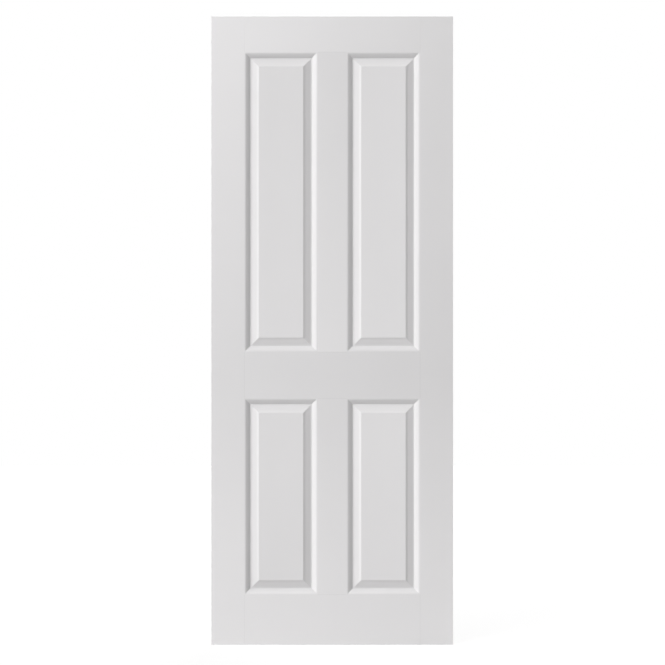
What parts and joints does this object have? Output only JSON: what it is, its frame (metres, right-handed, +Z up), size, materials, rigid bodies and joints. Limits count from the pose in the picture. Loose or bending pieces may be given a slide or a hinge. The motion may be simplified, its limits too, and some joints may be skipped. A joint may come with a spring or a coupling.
{
  "type": "interior door leaf",
  "caption": "White primed moulded door leaf with tall panels over short ones: pressed skins over a softwood frame and a paper honeycomb core, with square edges left plain.",
  "frame": {"origin": "middle of the leaf's foot", "axes": "+Z up the leaf, +X across it to the picture's right, and the front face looks along -Y"},
  "size_m": [0.762, 0.035, 1.981],
  "materials": {
    "primed_fibreboard": "off-white primer, matt",
    "softwood": "planed, bare",
    "kraft_paper": "raw",
    "steel": "blued strip"
  },
  "bodies": {
    "root": {"front_skin": "primed_fibreboard", "back_skin": "primed_fibreboard", "left_stile": "softwood", "right_stile": "softwood", "top_rail": "softwood", "bottom_rail": "softwood", "left_lock_block": "softwood", "right_lock_block": "softwood", "honeycomb_core": "kraft_paper", "fastener_top_left_front": "steel", "fastener_top_left_back": "steel", "fastener_top_right_front": "steel", "fastener_top_right_back": "steel", "fastener_bottom_left_front": "steel", "fastener_bottom_left_back": "steel", "fastener_bottom_right_front": "steel", "fastener_bottom_right_back": "steel"}
  },
  "joints": []
}
